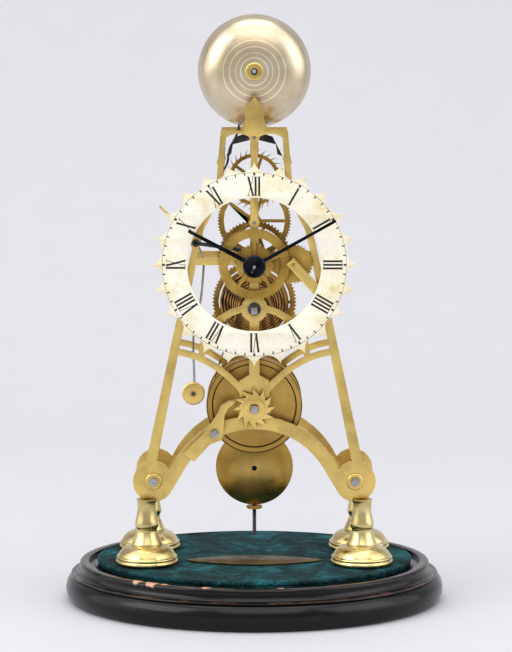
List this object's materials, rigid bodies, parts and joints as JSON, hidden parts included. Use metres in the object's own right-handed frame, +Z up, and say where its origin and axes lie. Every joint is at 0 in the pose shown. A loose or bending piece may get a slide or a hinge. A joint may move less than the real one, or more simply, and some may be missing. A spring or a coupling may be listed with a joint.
{
  "type": "skeleton clock",
  "caption": "Skeleton clock with pierced brass plates, fusee train, scalloped chapter ring, passing-strike bell and pendulum on an oval ebonised base.",
  "frame": {"origin": "middle of the underside of the base moulding", "axes": "+X to the viewer's right, +Y from the dial side to the pendulum side, +Z up"},
  "size_m": [0.271, 0.227, 0.4177],
  "materials": {
    "brass": "lacquered polish, slightly dulled",
    "aged_brass": "tarnished",
    "silvered_brass": "silvered, yellowed",
    "bell_metal": "turned and polished",
    "steel": "polished",
    "blued_steel": "blued",
    "ebonised_wood": "black French polish",
    "velvet": "short pile",
    "gut": "twisted gut"
  },
  "bodies": {
    "frame": {"base_moulding": "ebonised_wood", "velvet_pad": "velvet", "plaque": "aged_brass", "foot_front_left": "brass", "foot_front_right": "brass", "foot_back_left": "brass", "foot_back_right": "brass", "front_plate": "brass", "back_plate": "brass", "plate_spacer_left": "brass", "plate_spacer_right": "brass", "spacer_washer_left": "aged_brass", "spacer_washer_right": "aged_brass", "spacer_screw_front_left": "steel", "spacer_screw_front_right": "steel", "spacer_screw_back_left": "steel", "spacer_screw_back_right": "steel", "top_pillar_left": "brass", "top_pillar_right": "brass", "dial_chapter_ring": "silvered_brass", "dial_post_top": "brass", "dial_post_left": "brass", "dial_post_right": "brass", "minute_cock": "brass", "minute_cock_screw": "steel", "fusee_line": "gut", "click_screw": "steel", "bell": "bell_metal", "bell_washer": "brass", "bell_post": "steel", "pendulum_cock": "brass"},
    "centre": {"centre_arbor": "steel", "centre_wheel": "brass", "cannon_wheel": "brass", "minute_hand": "blued_steel", "hand_collar": "blued_steel"},
    "hour": {"hour_wheel": "brass", "hour_hand": "blued_steel"},
    "minute_wheel": {"minute_wheel": "brass"},
    "third": {"third_arbor": "steel", "third_wheel": "brass"},
    "escape": {"escape_arbor": "steel", "escape_wheel": "brass"},
    "fusee": {"fusee": "aged_brass", "great_wheel": "brass"},
    "barrel": {"barrel_drum": "aged_brass", "barrel_cap": "aged_brass", "mainspring": "blued_steel"},
    "barrel_arbor": {"barrel_arbor": "steel", "setup_ratchet": "brass"},
    "click": {"click": "brass"},
    "pallets": {"pallet_anchor": "steel", "pallet_arbor": "steel", "crutch": "steel"},
    "pendulum": {"pendulum_rod": "steel", "pendulum_bob": "brass"},
    "rating_nut": {"rating_nut": "brass"},
    "hammer": {"hammer": "steel", "hammer_counterweight": "brass"}
  },
  "joints": [
    {"name": "centre_turn", "type": "hinge", "parent": "frame", "child": "centre", "pos_m": [0, 0, 0.2445], "axis": [0, 1, 0], "continuous": true},
    {"name": "hour_turn", "type": "hinge", "parent": "frame", "child": "hour", "pos_m": [0, 0, 0.2445], "axis": [0, 1, 0], "continuous": true},
    {"name": "minute_wheel_turn", "type": "hinge", "parent": "frame", "child": "minute_wheel", "pos_m": [0.02713, 0, 0.2445], "axis": [0, 1, 0], "continuous": true},
    {"name": "third_turn", "type": "hinge", "parent": "frame", "child": "third", "pos_m": [0, 0, 0.273], "axis": [0, 1, 0], "continuous": true},
    {"name": "escape_turn", "type": "hinge", "parent": "frame", "child": "escape", "pos_m": [0, 0, 0.3007], "axis": [0, 1, 0], "continuous": true},
    {"name": "fusee_turn", "type": "hinge", "parent": "frame", "child": "fusee", "pos_m": [0, 0, 0.2123], "axis": [0, 1, 0], "continuous": true},
    {"name": "barrel_turn", "type": "hinge", "parent": "frame", "child": "barrel", "pos_m": [0, 0, 0.1423], "axis": [0, 1, 0], "continuous": true},
    {"name": "pendulum_swing", "type": "hinge", "parent": "frame", "child": "pendulum", "pos_m": [0, 0, 0.3323], "axis": [0, 1, 0], "range_deg": [-2, 2]},
    {"name": "pallet_rock", "type": "hinge", "parent": "frame", "child": "pallets", "pos_m": [0, 0, 0.3323], "axis": [0, 1, 0], "range_deg": [-2, 2]},
    {"name": "click_lift", "type": "hinge", "parent": "frame", "child": "click", "pos_m": [-0.028, 0, 0.1244], "axis": [0, -1, 0], "range_deg": [0, 20]},
    {"name": "setup_turn", "type": "hinge", "parent": "frame", "child": "barrel_arbor", "pos_m": [0, 0, 0.1423], "axis": [0, -1, 0], "range_deg": [0, 30]},
    {"name": "hammer_draw", "type": "hinge", "parent": "frame", "child": "hammer", "pos_m": [-0.041, 0, 0.2588], "axis": [0, 1, 0], "range_deg": [0, 6]},
    {"name": "rating_nut_turn", "type": "hinge", "parent": "pendulum", "child": "rating_nut", "pos_m": [0, 0.044, 0.058], "axis": [0, 0, 1], "continuous": true}
  ],
  "couplings": [
    {"joint": "hour_turn", "follows": "centre_turn", "ratio": 0.083333},
    {"joint": "minute_wheel_turn", "follows": "centre_turn", "ratio": -1},
    {"joint": "third_turn", "follows": "centre_turn", "ratio": -10},
    {"joint": "escape_turn", "follows": "centre_turn", "ratio": 120},
    {"joint": "fusee_turn", "follows": "centre_turn", "ratio": -0.083333},
    {"joint": "barrel_turn", "follows": "centre_turn", "ratio": -0.024327},
    {"joint": "pallet_rock", "follows": "pendulum_swing", "ratio": 1},
    {"joint": "setup_turn", "follows": "click_lift", "ratio": 1.5}
  ]
}
